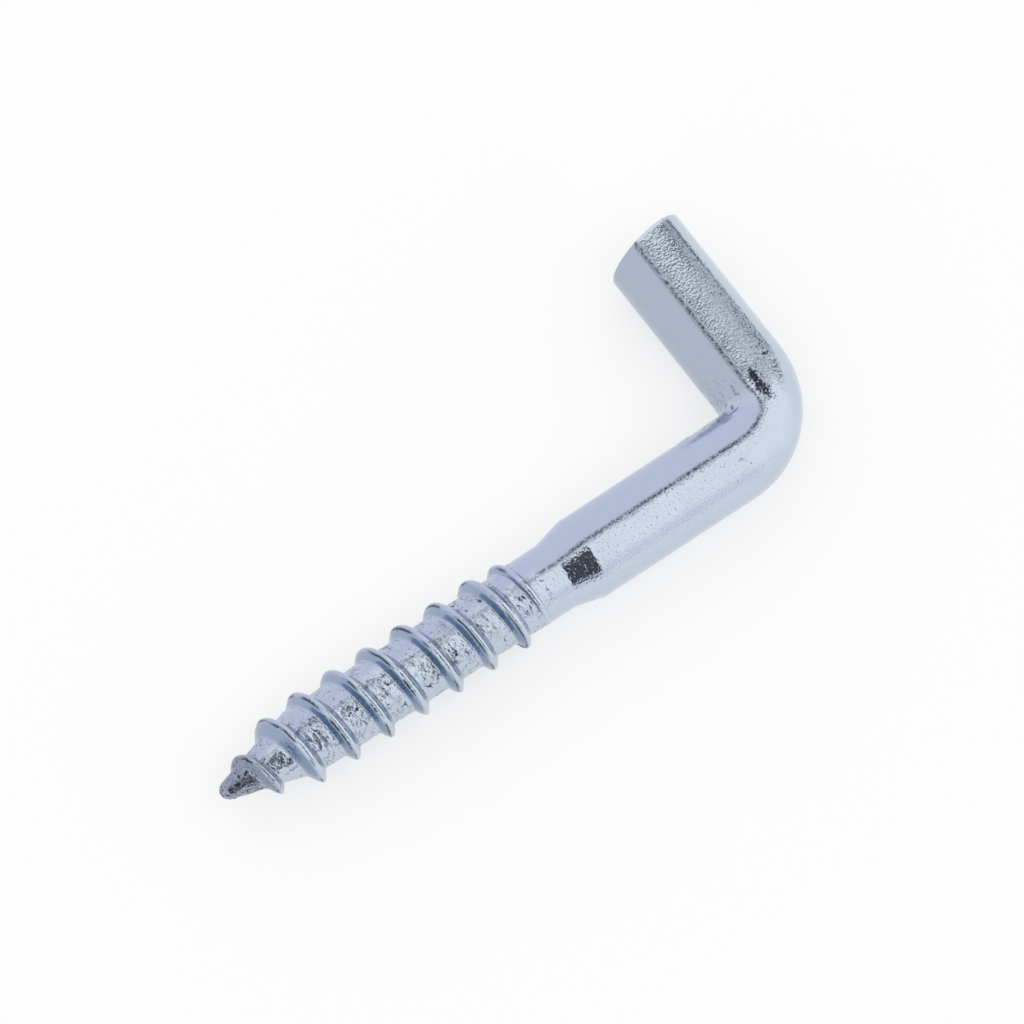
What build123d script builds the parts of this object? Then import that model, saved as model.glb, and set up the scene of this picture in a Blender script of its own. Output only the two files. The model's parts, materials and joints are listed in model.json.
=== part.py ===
"""Screw hook: one steel bar with a rolled wood thread, a plain shank and a square-bent arm.

Millimetres. The screw runs along X with its point towards -X, the arm points along +Y, and
the L lies flat in the XY plane. The origin is on the screw's axis where the thread ends, which
is as far as the hook is screwed in.
"""

from build123d import *
import os
from math import cos, radians, sin, tan

# ---- driving dimensions ---------------------------------------------------------------------
shank_dia = 10.0            # plain round bar between the thread and the bend
arm_fullness = 0.4          # the arm is left this much thicker than the shank
arm_axis_x = 35.6           # from the thread's end to the arm's axis
arm_length = 26.8           # from the screw's axis to the middle of the arm's cut end

thread_length = 43.5        # from the point to where the thread has run out
thread_pitch = 4.82         # one start, right-hand
thread_dia = 10.3           # over the crests, just proud of the shank
root_dia = 7.9              # core between the turns
crest_width = 0.5           # land on top of the ridge
flank_half_angle = 35.0     # slope of each side of the ridge, in degrees
thread_start = 1.1          # the ridge leaves the cone this far behind the point
thread_start_angle = 186.0  # and this far round the axis, in degrees from +Y towards +Z
crest_rise_length = 8.2     # it reaches its full diameter over this length
runout_length = 4.4         # it sinks back into the core over this length
runout_pitch = 3.4          # and its last turn closes up

point_length = 11.2         # gimlet cone, from the point to the full core
point_radius = 0.45         # the point is blunt

neck_dia = 8.2              # short plain neck behind the thread
neck_length = 3.3
neck_rise = 0.8             # the core widens to the neck over this length
shoulder_length = 3.6       # cone from the neck up to the shank

bend_outer_radius = 13.1    # outside of the square bend
bend_inner_radius = 0.8     # the inside is pressed almost to a sharp corner
end_skew = 9.5              # the end is sheared this many degrees off square
end_round = 0.4             # broken edge of the sheared end

# ---- values that follow from them -----------------------------------------------------------
arm_dia = shank_dia + arm_fullness
point_x = -thread_length
core_start_x = point_x + point_length
ridge_start_x = point_x + thread_start
shank_start_x = neck_length + shoulder_length
core_embed = 0.3            # the ridge's foot reaches this far into the core
sections_per_turn = 12
bend_steps = 8

level_turns = (-runout_length - ridge_start_x) / thread_pitch
ridge_turns = level_turns + runout_length / runout_pitch

outer_centre = Vector(
    arm_axis_x + arm_dia / 2 - bend_outer_radius,
    bend_outer_radius - shank_dia / 2,
)
inner_centre = Vector(
    arm_axis_x - arm_dia / 2 - bend_inner_radius,
    shank_dia / 2 + bend_inner_radius,
)


def core_radius(x):
    """Radius of the core at x: the gimlet cone, then the parallel root."""
    along = min((x - point_x) / point_length, 1)
    return point_radius + (root_dia / 2 - point_radius) * along


def crest_radius(x):
    """Radius over the ridge at x: it rises along the cone, runs level and sinks at the neck."""
    rise = min((x - ridge_start_x) / crest_rise_length, 1)
    level = core_radius(ridge_start_x) * (1 - rise) + thread_dia / 2 * rise
    sink = max(1 + x / runout_length, 0)
    sunk_radius = root_dia / 2 - core_embed / 2
    return level + (sunk_radius - level) * sink**2


def ridge_x(turns):
    """Where along the screw the ridge is, so many turns after it starts."""
    level_run = min(turns, level_turns) * thread_pitch
    closing_run = max(turns - level_turns, 0) * runout_pitch
    return ridge_start_x + level_run + closing_run


def bend_point(centre, radius, swing):
    """Point of the bend's inside or outside arc after the bar has turned by swing degrees."""
    return centre + Vector(sin(radians(swing)), -cos(radians(swing))) * radius


def bend_inside(swing):
    return bend_point(inner_centre, bend_inner_radius, swing)


def bend_outside(swing):
    return bend_point(outer_centre, bend_outer_radius, swing)


def bend_plane(swing):
    """Plane across the bar in the bend: x from the inside to the outside, z along the bar."""
    across = bend_outside(swing) - bend_inside(swing)
    middle = (bend_outside(swing) + bend_inside(swing)) / 2
    return Plane(origin=middle, x_dir=across, z_dir=Vector(0, 0, 1).cross(across))


# ---- shank: round bar up to the bend ----------------------------------------------------------
with BuildPart() as shank:
    with BuildSketch(Plane.YZ.offset(shank_start_x)):
        Circle(shank_dia / 2)
    extrude(amount=arm_axis_x - shank_start_x)
    split(bisect_by=bend_plane(0), keep=Keep.BOTTOM)

# ---- bend: the bar's section fans round the tight inside corner --------------------------------
with BuildPart() as bend:
    for step in range(bend_steps + 1):
        swing = 90 * step / bend_steps
        half_across = (bend_outside(swing) - bend_inside(swing)).length / 2
        half_height = (shank_dia + (arm_dia - shank_dia) * step / bend_steps) / 2
        with BuildSketch(bend_plane(swing)):
            with BuildLine():
                EllipticalCenterArc((0, 0), half_across, half_height, start_angle=0, arc_size=180)
                EllipticalCenterArc((0, 0), half_across, half_height, start_angle=180, arc_size=180)
            make_face()
    loft()

# ---- arm: round bar from the bend to the sheared end -------------------------------------------
with BuildPart() as arm:
    with BuildSketch(Plane(origin=(arm_axis_x, 0, 0), x_dir=(1, 0, 0), z_dir=(0, 1, 0))):
        Circle(arm_dia / 2)
    extrude(amount=arm_length + arm_dia)
    split(bisect_by=bend_plane(90), keep=Keep.TOP)
    shear_normal = Vector(-sin(radians(end_skew)), cos(radians(end_skew)), 0)
    split(bisect_by=Plane(origin=(arm_axis_x, arm_length, 0), z_dir=shear_normal), keep=Keep.BOTTOM)
    fillet(arm.faces().sort_by(Axis.Y)[-1].edges(), end_round)

# ---- the whole hook: the threaded core and the bent bar are one piece of steel ------------------
with BuildPart() as screw_hook:
    # core: blunt gimlet point, root cylinder, neck and shoulder, turned as one profile
    with BuildSketch(Plane.XY) as core_profile:
        with BuildLine():
            Polyline(
                (point_x, 0),
                (point_x, point_radius),
                (core_start_x, root_dia / 2),
                (-neck_rise, root_dia / 2),
                (0, neck_dia / 2),
                (neck_length, neck_dia / 2),
                (shank_start_x, shank_dia / 2),
                (shank_start_x, 0),
                close=True,
            )
        make_face()
        fillet(core_profile.vertices().sort_by(Axis.X)[:2].sort_by(Axis.Y)[-1], point_radius)
    revolve(axis=Axis.X)

    # thread: the ridge's section set every few degrees round the core, lofted turn by turn
    segments = round(ridge_turns)
    for segment in range(segments):
        for step in range(sections_per_turn + 1):
            turns = ridge_turns * (segment + step / sections_per_turn) / segments
            angle = thread_start_angle + 360 * turns
            outward = Vector(0, cos(radians(angle)), sin(radians(angle)))
            x = ridge_x(turns)
            foot = core_radius(x) - core_embed
            crest = crest_radius(x)
            foot_half = crest_width / 2 + (crest - foot) * tan(radians(flank_half_angle))
            with BuildSketch(Plane(origin=(x, 0, 0), x_dir=(1, 0, 0), z_dir=Vector(1, 0, 0).cross(outward))):
                with BuildLine():
                    Polyline(
                        (-foot_half, foot),
                        (-crest_width / 2, crest),
                        (crest_width / 2, crest),
                        (foot_half, foot),
                        close=True,
                    )
                make_face()
        loft()

    add(shank.part)
    add(bend.part)
    add(arm.part)

os.makedirs("parts", exist_ok=True)
screw_hook.part.label = "screw_hook"
export_step(screw_hook.part, "parts/screw_hook.step")
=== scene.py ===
import json
import math

import bmesh
import bpy
import numpy as np
from mathutils import Matrix, Vector, noise


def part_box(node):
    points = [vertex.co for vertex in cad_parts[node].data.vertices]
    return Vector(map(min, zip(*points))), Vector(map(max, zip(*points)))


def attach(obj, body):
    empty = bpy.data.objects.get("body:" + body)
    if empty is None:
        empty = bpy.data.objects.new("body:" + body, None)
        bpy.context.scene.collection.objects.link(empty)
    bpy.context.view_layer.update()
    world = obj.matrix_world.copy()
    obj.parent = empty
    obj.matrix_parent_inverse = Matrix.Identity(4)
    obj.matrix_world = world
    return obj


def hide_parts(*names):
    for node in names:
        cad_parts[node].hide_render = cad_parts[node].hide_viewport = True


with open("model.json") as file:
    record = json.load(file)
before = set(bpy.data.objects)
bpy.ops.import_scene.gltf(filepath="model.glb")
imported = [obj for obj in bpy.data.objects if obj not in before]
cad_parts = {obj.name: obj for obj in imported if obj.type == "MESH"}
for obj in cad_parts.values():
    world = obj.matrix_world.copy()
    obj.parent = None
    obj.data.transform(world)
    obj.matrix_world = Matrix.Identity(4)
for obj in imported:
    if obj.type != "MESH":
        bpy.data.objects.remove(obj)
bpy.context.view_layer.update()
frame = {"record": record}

# ---- the hook -----------------------------------------------------------------------------------
# One length of mild steel bar: the thread is rolled into it, a neck and shoulder are left behind
# the thread, and the bar is bent square in a press and sheared off. Then the whole hook is barrel
# plated with bright zinc. Sizes here are in millimetres and are turned into metres in the mesh.
MM = 0.001
mounts = {mount["name"]: mount for mount in frame["record"]["mounts"]}
low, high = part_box("screw_hook")
arm_radius = mounts["hook_arm"]["dims"]["r_mm"]
arm_x = mounts["hook_arm"]["pos_m"][0] / MM
point_x = low[0] / MM
shank_radius = 5.0
arm_length = 27.05
end_skew = math.tan(math.radians(9.5))
end_round = 0.30
bend_outer = 13.1
bend_inner = 0.8

pitch = 4.76
closing_pitch = 3.4
ridge_start = point_x + 1.45
ridge_start_angle = math.radians(186)
rise_length = 9.6
ridge_foot = 1.08
runout = 4.4
crest_outer = 5.08
root = 3.95
cone_length = 11.2
point_blunt = 0.85
point_worn = 0.3
crest_half = 0.22
flank_slope = math.tan(math.radians(35))
neck_radius = 4.1
neck_end = 3.3
shoulder_end = 6.9
around = 128
rows_per_turn = 44
thread_end = 0.3


def smooth(low_edge, high_edge, value):
    t = np.clip((value - low_edge) / (high_edge - low_edge), 0, 1)
    return t * t * (3 - 2 * t)


def grain(points, size, seed):
    """Smooth noise from -1 to 1 at points in millimetres, with lumps of the given size."""
    shift = Vector((seed * 7.31, seed * 3.17, seed * 5.93))
    flat = points.reshape(-1, 3) / size
    return np.array([noise.noise(Vector(p) + shift) for p in flat]).reshape(points.shape[:-1])


def core_radius(x):
    along = np.clip(x - point_x - point_worn, 0, None)
    cone = point_blunt + (root - point_blunt) * np.minimum(along / cone_length, 1)
    blunt = np.sqrt(np.clip(1 - (1 - np.minimum(along / point_blunt, 1)) ** 2, 0, 1))
    return cone * blunt + (neck_radius - root) * smooth(-4.5, 0, x)


def crest_radius(x):
    rise = np.clip((x - point_x - point_worn) / rise_length, 0, 1)
    level = ridge_foot + (crest_outer - ridge_foot) * rise
    core = core_radius(x)
    level = core + (level - core) * smooth(ridge_start - 0.2, ridge_start + 2.6, x)
    sink = np.clip(1 + x / runout, 0, 1)
    return level + (root - 0.15 - level) * sink**2


def ridge_x(turns):
    level_turns = (-runout - ridge_start) / pitch
    level_run = np.minimum(turns, level_turns) * pitch
    return ridge_start + level_run + np.maximum(turns - level_turns, 0) * closing_pitch


angles = ridge_start_angle + 2 * math.pi * np.arange(around) / around
ring_y = np.cos(angles)
ring_z = np.sin(angles)

# The threaded length is one net of quads whose rows follow the helix, so a row never crosses the
# ridge. Rows past the point or the neck fold up on the end ring and are merged there.
first_row = math.floor((point_x - ridge_start) / pitch * rows_per_turn) - rows_per_turn
last_row = math.ceil(9.4 * rows_per_turn)
rows = np.arange(first_row, last_row + 1)
turns = rows[:, None] / rows_per_turn + np.arange(around)[None, :] / around
thread_x = np.clip(ridge_x(turns), point_x + point_worn, thread_end)
offset = (rows / rows_per_turn + 0.5) % 1 - 0.5
local_pitch = np.where(ridge_x(turns) > -runout, closing_pitch, pitch)
from_crest = offset[:, None] * local_pitch
unrolled = np.stack([thread_x, ring_y * root * np.ones_like(thread_x), ring_z * root * np.ones_like(thread_x)], -1)
wander = grain(unrolled, 3.2, 1)
from_crest = from_crest + 0.06 * wander
core = core_radius(thread_x)
crest = crest_radius(thread_x - from_crest) + 0.05 * grain(unrolled, 1.7, 2)
height = np.clip(crest - core, 0, None)
foot_half = crest_half + height * flank_slope + 0.05
down_flank = np.clip((np.abs(from_crest) - crest_half) / (foot_half - crest_half), 0, 1)
profile = 0.55 * (1 - down_flank) + 0.45 * (1 - smooth(0, 1, down_flank))
crown = 0.06 * np.clip(1 - (from_crest / crest_half) ** 2, 0, 1)
seam_place = from_crest + 0.28 + 0.08 * grain(unrolled, 1.3, 5)
seam_depth = 0.25 + 0.75 * smooth(-0.25, 0.25, grain(unrolled, 1.9, 6))
seam = np.exp(-(seam_place / 0.12) ** 2) * seam_depth * smooth(0.25, 0.8, height)
on_flank = smooth(0.05, 0.30, down_flank) * (1 - smooth(0.72, 1.0, down_flank)) * smooth(0.1, 0.45, height)
# Painted shade: the thread flanks are painted a dark blue-grey where the next ridge shades them, most of all the
# flanks facing the point.
dull_flank = on_flank * np.where(from_crest < 0, 1.0, 0.55)
in_root = smooth(0.75, 1.0, down_flank) * smooth(point_x + 1.5, point_x + 4, thread_x)
in_root = in_root * (1 - smooth(-1.6, -0.4, thread_x))
lumps = 0.07 * grain(unrolled, 1.1, 3) + 0.035 * grain(unrolled, 0.42, 4)
tears = np.exp(-(grain(unrolled * np.array([1.5, 1, 1]), 1.6, 11) / 0.045) ** 2)
tears = tears * smooth(0.0, 0.25, grain(unrolled, 2.3, 12)) * np.clip(in_root + 0.4 * on_flank, 0, 1)
thread_radius = core + (height + crown * (height > 0.3)) * profile - 0.14 * seam - 0.13 * tears
thread_radius = thread_radius + lumps * (0.25 + in_root)
thread_radius = np.where(thread_x <= point_x + point_worn, 0, thread_radius)
thread_radius = np.where(thread_x >= thread_end, neck_radius, thread_radius)
thread_points = np.stack([thread_x, thread_radius * ring_y, thread_radius * ring_z], -1)


# The bar behind the thread is a stack of rings. Each ring spans from a point on the inside of the
# L to a point on the outside, so the rings fan round the bend and lean with the sheared end.
inner_x = arm_x - arm_radius - bend_inner
inner_y = shank_radius + bend_inner
outer_x = arm_x + arm_radius - bend_outer
outer_y = bend_outer - shank_radius
ring_ends = []
for x in (thread_end, 0.9, 1.5, 2.1, 2.7, neck_end - 0.2, neck_end - 0.04):
    ring_ends.append((x, neck_radius, x, -neck_radius, neck_radius))
for part in np.linspace(0.015, 0.985, 16):
    x = neck_end + (shoulder_end - neck_end) * part
    radius = neck_radius + (shank_radius - neck_radius) * part
    ring_ends.append((x, radius, x, -radius, radius))
for part in np.linspace(0.0015, 1, 70):
    inside = shoulder_end + (inner_x - shoulder_end) * part
    outside = shoulder_end + (outer_x - shoulder_end) * part
    ring_ends.append((inside, shank_radius, outside, -shank_radius, shank_radius))
for part in np.linspace(0, 1, 61)[1:-1]:
    swing = part * math.pi / 2
    ring_ends.append((
        inner_x + bend_inner * math.sin(swing),
        inner_y - bend_inner * math.cos(swing),
        outer_x + bend_outer * math.sin(swing),
        outer_y - bend_outer * math.cos(swing),
        shank_radius + (arm_radius - shank_radius) * part,
    ))
end_inside = arm_length - end_skew * arm_radius
end_outside = arm_length + end_skew * arm_radius
for part in np.linspace(0, 1, 50):
    inside = inner_y + (end_inside - end_round - inner_y) * part
    outside = outer_y + (end_outside - end_round - outer_y) * part
    ring_ends.append((arm_x - arm_radius, inside, arm_x + arm_radius, outside, arm_radius))
bar_rings = len(ring_ends)
for turned in np.linspace(0, 90, 7)[1:]:
    inset = end_round * (1 - math.cos(math.radians(turned)))
    ahead = end_round * math.sin(math.radians(turned))
    inside = end_inside - end_round + ahead + end_skew * inset
    outside = end_outside - end_round + ahead - end_skew * inset
    radius = arm_radius - inset
    ring_ends.append((arm_x - radius, inside, arm_x + radius, outside, radius))
for shrink in (0.88, 0.74, 0.58, 0.42, 0.27, 0.13, 0.0):
    radius = (arm_radius - end_round) * shrink
    ring_ends.append((
        arm_x - radius, arm_length - end_skew * radius,
        arm_x + radius, arm_length + end_skew * radius, radius,
    ))
ends = np.array(ring_ends)
inside_point = ends[:, 0:2]
outside_point = ends[:, 2:4]
middle = (inside_point + outside_point) / 2
half_across = (inside_point - outside_point) / 2
bar_xy = middle[:, None, :] + half_across[:, None, :] * ring_y[None, :, None]
bar_z = ends[:, 4][:, None] * ring_z[None, :]
bar_points = np.concatenate([bar_xy, bar_z[..., None]], -1)

# Press marks: the inside of the bend is squeezed and creased, and the vice has bruised the shank
# close to it. Elsewhere the bar keeps the faint waviness of drawn stock.
outward = np.concatenate([bar_xy - middle[:, None, :], bar_z[..., None]], -1)
length = np.linalg.norm(outward, axis=-1, keepdims=True)
outward = outward / np.maximum(length, 1e-6)
corner = np.array([arm_x - arm_radius, shank_radius, 0])
near_corner = np.linalg.norm((bar_points - corner) * np.array([1, 1, 0.8]), axis=-1)
inward_side = smooth(0.35, 0.8, np.broadcast_to(ring_y, bar_z.shape))
press = np.exp(-(near_corner / 4.2) ** 2) * inward_side
bruise_x = smooth(21, 25, bar_points[..., 0]) * (bar_points[..., 1] < 5.2)
bruise = bruise_x * smooth(0.62, 0.9, np.broadcast_to(ring_y, bar_z.shape))
creases = grain(bar_points * np.array([1.0, 1.0, 0.35]), 0.8, 8)
lip = np.array([arm_x - arm_radius + 0.5, shank_radius + 1.3, 3.3])
near_lip = np.linalg.norm((bar_points - lip) * np.array([1.0, 0.7, 1.0]), axis=-1)
lip_bulge = np.exp(-(near_lip / 0.9) ** 2)
fold = np.exp(-((near_lip - 1.7) / 0.35) ** 2) * (bar_points[..., 1] < lip[1]) * (bar_points[..., 0] > lip[0] - 1)
# A dark grainy patch on top of the bend is painted here: a painted reflection of the lens.
lens_reflection_x = arm_x - 1.0 + 0.05 * (4.5 - bar_points[..., 1]) ** 2
lens_reflection = np.exp(-((bar_points[..., 0] - lens_reflection_x) / 0.85) ** 2) * smooth(2, 4, bar_points[..., 2])
lens_reflection = lens_reflection * np.exp(-((bar_points[..., 1] - 4.4) / 2.6) ** 4)
pits = np.zeros(bar_z.shape)
for pit in ((37.3, 7.1, 4.9), (27.5, -1.9, 4.5), (7.2, 4.8, 1.1), (7.5, 4.85, 0.9)):
    pits = pits + np.exp(-(np.linalg.norm(bar_points - np.array(pit), axis=-1) / 0.22) ** 2)
sheared = np.zeros(bar_z.shape)
sheared[bar_rings + 5:] = 1
bar_lift = 0.012 * grain(bar_points, 2.5, 7) + (0.14 * press + 0.05 * bruise) * creases
bar_lift = bar_lift + 0.16 * lip_bulge - 0.22 * fold - 0.10 * pits
bar_lift = np.where(np.arange(len(ends))[:, None] < 3, 0, bar_lift)
bar_lift[bar_rings:] *= 0.3
bar_points = bar_points + outward * bar_lift[..., None]
bar_points[bar_rings + 5:, :, 1] += 0.05 * grain(bar_points[bar_rings + 5:], 1.1, 9)
bar_points[-1] = bar_points[-1].mean(0)

thread_count = thread_points.shape[0]
bar_count = bar_points.shape[0]
points = np.concatenate([thread_points.reshape(-1, 3), bar_points.reshape(-1, 3)]) * MM
faces = []
for row in range(thread_count - 1):
    for column in range(around):
        wraps = column == around - 1
        next_column = 0 if wraps else column + 1
        next_row = min(row + rows_per_turn, thread_count - 1) if wraps else row
        next_upper = min(row + 1 + rows_per_turn, thread_count - 1) if wraps else row + 1
        faces.append((
            row * around + column, next_row * around + next_column,
            next_upper * around + next_column, (row + 1) * around + column,
        ))
bar_start = thread_count * around
for row in range(bar_count - 1):
    for column in range(around):
        near = bar_start + row * around
        next_column = (column + 1) % around
        faces.append((near + column, near + next_column, near + around + next_column, near + around + column))

hook_mesh = bpy.data.meshes.new("zinc_hook")
hook_mesh.from_pydata(points.tolist(), [], faces)
no_thread = np.zeros(thread_x.shape)
no_bar = np.zeros(bar_z.shape)
swing_done = np.arctan2(-half_across[:, 0], half_across[:, 1] + 1e-9) / (math.pi / 2)
arm_part = np.broadcast_to(smooth(0.35, 0.95, swing_done)[:, None], bar_z.shape)
# Where the painted shade of the inner side begins, as a value of ring_y; it lies further round on the arm.
shade_edge = 0.395 * arm_part - 0.045
# The inner side of the L, on the thread and the bar, is painted a darker violet. The zinc's violet tint is real;
# its darkness on that side alone is painted shade.
inner_thread = smooth(-0.25, 0.35, ring_y + 0.25 * grain(unrolled, 2.6, 13))
tip_scale = 1 - smooth(point_x + 3.0, point_x + 7.5, thread_x + 0.8 * grain(unrolled, 1.5, 14))
inner_bar = smooth(shade_edge - 0.04, shade_edge + 0.10, np.broadcast_to(ring_y, bar_z.shape)) * (1 - sheared)
wide_y = np.broadcast_to(ring_y, bar_z.shape)
# A darker speckled band on top of the arm, strongest towards the bend, and a second thin dark line on it: both
# painted reflection.
rubbed = smooth(-0.62, -0.48, wide_y) * (1 - smooth(-0.25, 0.3, wide_y)) * (1 - smooth(11, 25, bar_points[..., 1]))
second_reflection_line = np.exp(-((wide_y + 0.45) / 0.09) ** 2) * smooth(-0.2, 0.9, arm_part)
rubbed = (rubbed + 0.6 * second_reflection_line) * arm_part**3 * (bar_z > 0) * (1 - sheared)
marks = {
    "film_place": (np.broadcast_to(ring_y, thread_x.shape), wide_y - shade_edge - 0.03),
    "film_line": (0.4 * in_root, 1 - sheared),
    "rubbed": (no_thread, rubbed),
    "root_skin": (in_root, no_bar),
    "lap_seam": (seam + 0.6 * tears, no_bar),
    "dull_flank": (dull_flank * (1 - 0.4 * inner_thread), no_bar),
    "tip_scale": (tip_scale, no_bar),
    "violet_film": (inner_thread, inner_bar),
    "press_mark": (no_thread, np.clip(press + bruise + fold, 0, 1)),
    "slide_mark": (no_thread, lens_reflection),
    "pit": (no_thread, pits),
    "on_arm": (no_thread, arm_part),
    "sheared_face": (no_thread, sheared),
}
for name, (on_thread, on_bar) in marks.items():
    layer = hook_mesh.attributes.new(name, "FLOAT", "POINT")
    layer.data.foreach_set("value", np.concatenate([on_thread.ravel(), on_bar.ravel()]).astype(np.float32))
welded = bmesh.new()
welded.from_mesh(hook_mesh)
bmesh.ops.remove_doubles(welded, verts=welded.verts, dist=0.0008 * MM)
bmesh.ops.dissolve_degenerate(welded, edges=welded.edges, dist=0.0004 * MM)
bmesh.ops.recalc_face_normals(welded, faces=welded.faces)
welded.to_mesh(hook_mesh)
welded.free()
for face in hook_mesh.polygons:
    face.use_smooth = True
hook = bpy.data.objects.new("zinc_hook", hook_mesh)
bpy.context.scene.collection.objects.link(hook)


class Wire:
    """An output socket. Sums, differences and products of wires add Math nodes."""

    def __init__(self, maker, socket):
        self.maker = maker
        self.socket = socket

    def math(self, operation, *values):
        return self.maker.node("ShaderNodeMath", {"operation": operation}, dict(enumerate(values)))

    def __add__(self, other):
        return self.math("ADD", self, other)

    __radd__ = __add__

    def __sub__(self, other):
        return self.math("SUBTRACT", self, other)

    def __rsub__(self, other):
        return self.math("SUBTRACT", other, self)

    def __mul__(self, other):
        return self.math("MULTIPLY", self, other)

    __rmul__ = __mul__

    def between(self, low_edge, high_edge):
        """0 below the low edge and 1 above the high edge, with a smooth step between."""
        settings = {"interpolation_type": "SMOOTHSTEP"}
        return self.maker.node("ShaderNodeMapRange", settings, {0: self, 1: low_edge, 2: high_edge})


class NodeMaker:
    """Adds nodes to one tree: type, settings first, then values or wires for the sockets."""

    def __init__(self, tree):
        self.tree = tree
        tree.nodes.clear()

    def node(self, kind, settings, sockets, output=0):
        made = self.tree.nodes.new(kind)
        for key, value in settings.items():
            if key == "stops":
                ramp = made.color_ramp.elements
                for place, stop in enumerate(value):
                    element = ramp[place] if place < 2 else ramp.new(stop[0])
                    element.position = stop[0]
                    element.color = stop[1]
            else:
                setattr(made, key, value)
        for key, value in sockets.items():
            if isinstance(value, Wire):
                self.tree.links.new(value.socket, made.inputs[key])
            else:
                made.inputs[key].default_value = value
        return Wire(self, made.outputs[output]) if made.outputs else made

    def noise(self, where, size, detail, rough, seed=0.0):
        """Noise from about 0.2 to 0.8 with lumps of the given size in millimetres."""
        settings = {"noise_dimensions": "4D"}
        sockets = {"Vector": where, "W": seed, "Scale": 1 / (size * MM), "Detail": detail, "Roughness": rough}
        return self.node("ShaderNodeTexNoise", settings, sockets)

    def mix(self, amount, first, second):
        return self.node("ShaderNodeMix", {"data_type": "RGBA"}, {0: amount, 6: first, 7: second}, 2)


zinc_light = (0.66, 0.755, 0.87, 1)
zinc_grey = (0.58, 0.66, 0.77, 1)
# painted shade towards the outer edge
outer_shade_grey = (0.52, 0.58, 0.68, 1)
# the zinc's violet tint, darkened as painted shade on the inner side
zinc_violet_shade = (0.46, 0.525, 0.69, 1)
violet_grey_shade = (0.42, 0.48, 0.59, 1)
# painted shade on the thread flanks
flank_shade_blue = (0.17, 0.25, 0.37, 1)
tip_grey = (0.27, 0.28, 0.36, 1)
# dark of the real flaws and of the painted reflections
flaw_and_shade_dark = (0.030, 0.036, 0.055, 1)
sheared_grey = (0.42, 0.45, 0.50, 1)
zinc = bpy.data.materials.new("bright_zinc")
zinc.use_nodes = True
maker = NodeMaker(zinc.node_tree)
place = maker.node("ShaderNodeTexCoord", {}, {}, "Object")


def mark(name):
    return maker.node("ShaderNodeAttribute", {"attribute_name": name}, {}, "Fac")


root_skin = mark("root_skin")
violet_film = mark("violet_film")
on_arm = mark("on_arm")
sheared_face = mark("sheared_face")
clouds = maker.noise(place, 3.0, 3, 0.5).between(0.35, 0.65)
fine = maker.noise(place, 0.20, 3, 0.65, 1.7)
speckle = maker.noise(place, 0.26, 4, 0.7, 3.3)
flecks = maker.noise(place, 0.32, 4, 0.65, 4.2).between(0.60, 0.70)
torn_patch = maker.noise(place, 2.4, 2, 0.5, 7.7).between(0.46, 0.60)
cracks = maker.noise(place, 0.75, 6, 0.75, 8.8).between(0.57, 0.64) * (0.25 + torn_patch)
split = maker.noise(place, 1.5, 4, 0.65, 6.4) - 0.5
splits = (1 - split.math("ABSOLUTE", split).between(0.003, 0.020)) * torn_patch
blotches = maker.noise(place, 1.1, 4, 0.7, 9.1).between(0.625, 0.67)
root_flaws = (cracks * 0.7 + flecks * 0.5 + splits * 0.6 + blotches + speckle.between(0.52, 0.72) * 0.5) * root_skin + mark("tip_scale") * speckle.between(0.50, 0.66)
seam_dark = mark("lap_seam") * maker.noise(place, 0.5, 3, 0.6, 2.2).between(0.28, 0.46)
press_dark = mark("press_mark") * maker.noise(place, 0.5, 4, 0.6, 5.1).between(0.52, 0.64)
# painted reflection of the lens on top of the bend
lens_reflection_dark = (mark("slide_mark") * 0.95 + speckle * 3.2 - 1.9).between(0.0, 0.6)
lens_reflection_dark = lens_reflection_dark * mark("slide_mark").between(0.1, 0.45)
# The dark marks here mix real flaws, such as cracks, seams, press marks and pits, with painted reflections: the
# lens patch, the dark lines and the band on the arm.
flaws_and_painted_shade = root_flaws * 0.85 + seam_dark * 0.95 + press_dark * 0.6 + lens_reflection_dark * 0.9 + mark("pit") + flecks * 0.06
# Painted reflection: a thin dark line along the edge of the shaded inner side, and a fainter one along the thread
# roots.
film_place = mark("film_place")
film_line = (1 - film_place.math("ABSOLUTE", film_place).between(0.0, 0.095)) * mark("film_line")
# painted reflection on top of the arm
arm_dark_reflection_speckle = mark("rubbed") * speckle.between(0.40, 0.64)
flaws_and_painted_shade = flaws_and_painted_shade + film_line * (0.15 + speckle.between(0.32, 0.62) * 0.7) + arm_dark_reflection_speckle * 0.6
flaws_and_painted_shade = flaws_and_painted_shade.between(0.0, 1.0)
pimples = maker.noise(place, 0.30, 1, 0.5, 9.9)
skin = maker.mix(clouds * 0.35 + speckle.between(0.35, 0.70) * 0.55, zinc_light, zinc_grey)
# Painted shade: the outer side of the bar and thread is painted greyer towards its edge.
skin = maker.mix((1 - mark("film_place").between(-0.98, -0.55)) * 0.7, skin, outer_shade_grey)
# painted shade: the inner side in a darker violet, greyer on the arm
skin = maker.mix(violet_film * (1 - on_arm), skin, zinc_violet_shade)
skin = maker.mix(violet_film * on_arm, skin, violet_grey_shade)
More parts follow.
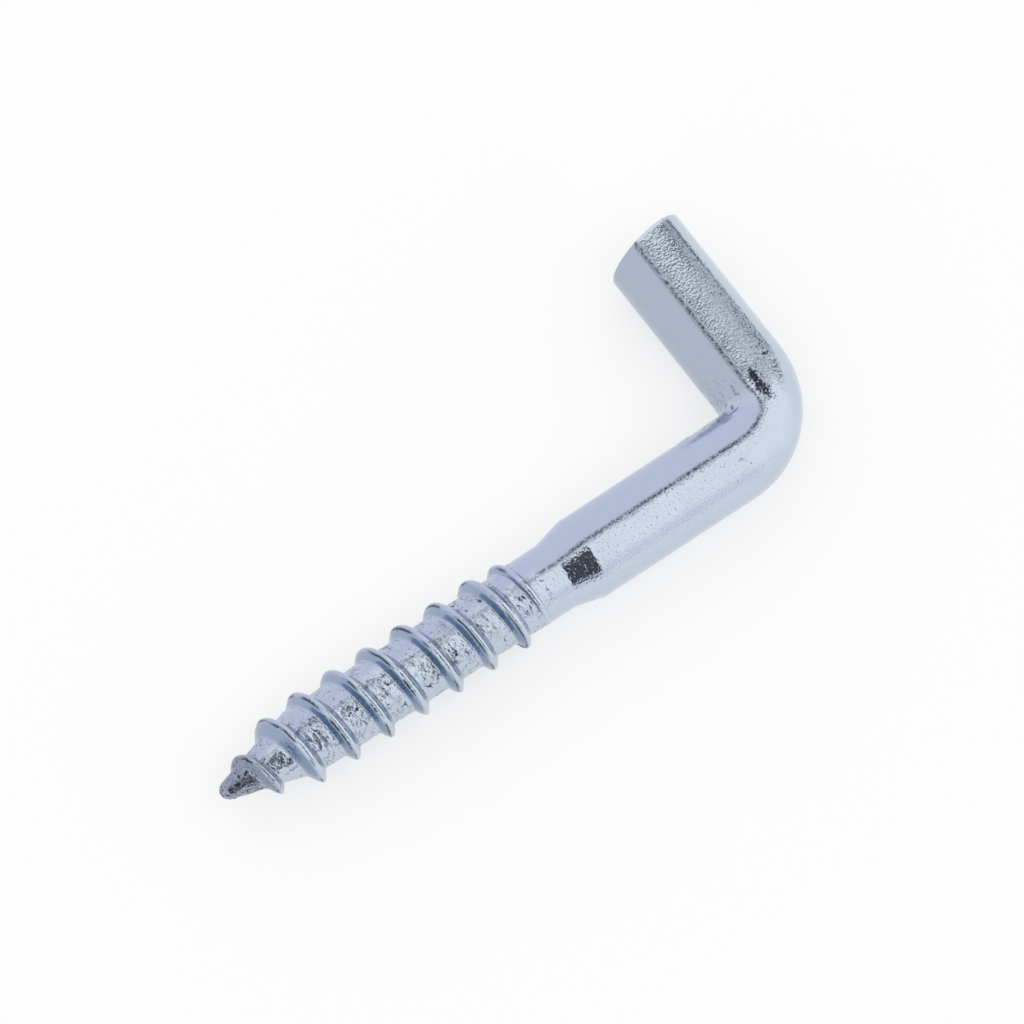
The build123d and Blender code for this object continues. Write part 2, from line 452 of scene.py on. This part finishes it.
# painted shade on the thread flanks
skin = maker.mix(mark("dull_flank") * 0.85, skin, flank_shade_blue)
skin = maker.mix(mark("tip_scale") * 0.75, skin, tip_grey)
skin = maker.mix(sheared_face * 0.8, skin, sheared_grey)
colour = maker.mix(flaws_and_painted_shade, skin, flaw_and_shade_dark)
roughness = 0.10 + 0.06 * fine + 0.05 * violet_film + 0.08 * root_skin + 0.25 * sheared_face + 0.2 * flaws_and_painted_shade
relief = pimples * (1.0 - 0.7 * violet_film * (1 - root_skin)) * (1.25 - 0.65 * on_arm) - flaws_and_painted_shade * 0.5
bump = maker.node("ShaderNodeBump", {}, {"Strength": 1.0, "Distance": 0.00005, "Height": relief})
surface = maker.node(
    "ShaderNodeBsdfPrincipled", {},
    {"Base Color": colour, "Metallic": 1.0, "Roughness": roughness, "Normal": bump},
)
maker.node("ShaderNodeOutputMaterial", {}, {"Surface": surface})
hook_mesh.materials.append(zinc)
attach(hook, "root")
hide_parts("screw_hook")

# ---- the floor ------------------------------------------------------------------------------------
# A sheet of matt white card, which the hook lies on.
lowest = min(v.co.z for v in hook_mesh.vertices)
floor_mesh = bpy.data.meshes.new("white_card")
floor_size = 12.0
corners = [(-1, -1), (1, -1), (1, 1), (-1, 1)]
floor_mesh.from_pydata([(x * floor_size, y * floor_size, lowest) for x, y in corners], [], [(0, 1, 2, 3)])
floor = bpy.data.objects.new("white_card", floor_mesh)
bpy.context.scene.collection.objects.link(floor)
card = bpy.data.materials.new("matt_white")
card.use_nodes = True
card_maker = NodeMaker(card.node_tree)
matt = card_maker.node("ShaderNodeBsdfDiffuse", {}, {"Color": (0.97, 0.97, 0.97, 1)})
paper_white = card_maker.node("ShaderNodeEmission", {}, {"Color": (1, 1, 1, 1), "Strength": 1.0})
camera_ray = card_maker.node("ShaderNodeLightPath", {}, {}, "Is Camera Ray")
glossy_ray = card_maker.node("ShaderNodeLightPath", {}, {}, "Is Glossy Ray")
seen = (camera_ray + glossy_ray) * 0.65
card_face = card_maker.node("ShaderNodeMixShader", {}, {0: seen, 1: matt, 2: paper_white})
card_maker.node("ShaderNodeOutputMaterial", {}, {"Surface": card_face})
floor_mesh.materials.append(card)

# ---- camera ---------------------------------------------------------------------------------------
# A long lens from above and from the side of the screw's point. Right and up are the directions of
# the picture's sides in the hook's frame.
look = Vector((0.27, 0.305, -0.9133)).normalized()
right = Vector((0.8069, -0.5892, 0.0415))
right = (right - look * right.dot(look)).normalized()
up = right.cross(look)
lens = 500
sensor = 36
field = 0.1160
distance = field * lens / sensor
bend_from_middle = (0.03103, 0.00977)
bend_point = Vector((arm_x * MM, 0, 0))
aim = bend_point - right * bend_from_middle[0] - up * bend_from_middle[1]
camera_data = bpy.data.cameras.new("camera")
camera_data.lens = lens
camera_data.sensor_width = sensor
camera_data.clip_start = 0.05
camera_data.clip_end = 60
camera = bpy.data.objects.new("camera", camera_data)
bpy.context.scene.collection.objects.link(camera)
camera.matrix_world = Matrix.Translation(aim - look * distance) @ Matrix((right, up, -look)).transposed().to_4x4()
bpy.context.scene.camera = camera

# ---- light tent -----------------------------------------------------------------------------------
# A white tent lit from outside. A sewn seam crosses its roof in a shallow curve, and the lens looks
# in through a tall slit on the side of the screw's point.
tent_white = (0.97, 0.97, 0.97, 1)
tent_low = (0.80, 0.81, 0.86, 1)
tent_seam = (0.03, 0.03, 0.045, 1)
seam_bow = 0.141
seam_middle = 0.235
seam_height = 0.24
world = bpy.data.worlds.new("light_tent")
world.use_nodes = True
bpy.context.scene.world = world
tent = NodeMaker(world.node_tree)
toward = tent.node("ShaderNodeTexCoord", {}, {}, "Generated")
toward_x = tent.node("ShaderNodeSeparateXYZ", {}, {0: toward}, 0)
toward_y = tent.node("ShaderNodeSeparateXYZ", {}, {0: toward}, 1)
past_middle = toward_x - seam_middle
off_seam = toward_y - seam_height - past_middle * past_middle * seam_bow
off_seam = off_seam.math("ABSOLUTE", off_seam)
slit = toward_x.between(-0.62, -0.50) * (1 - toward_x.between(-0.02, 0.08))
slit = slit * (1 - toward_y.between(-0.06, 0.06)) * toward_y.between(-0.99, -0.93)
cloth = tent.mix(1 - toward_y.between(-0.98, -0.75), tent_white, tent_low)
sewn = (1 - off_seam.between(0.03, 0.065)) * toward_x.between(-0.58, -0.48)
cloth = tent.mix(sewn, cloth, tent_seam)
cloth = tent.mix(slit * 0.96, cloth, tent_seam)
glow = tent.node("ShaderNodeBackground", {}, {"Color": cloth, "Strength": 1.0})
tent.node("ShaderNodeOutputWorld", {}, {"Surface": glow})

lamp_data = bpy.data.lights.new("overhead", "SUN")
lamp_data.energy = 0.8
lamp_data.angle = math.radians(50)
lamp = bpy.data.objects.new("overhead", lamp_data)
lamp.rotation_euler = (math.radians(25), math.radians(-20), 0)
lamp.visible_glossy = False
bpy.context.scene.collection.objects.link(lamp)

bpy.context.scene.view_settings.view_transform = "Standard"
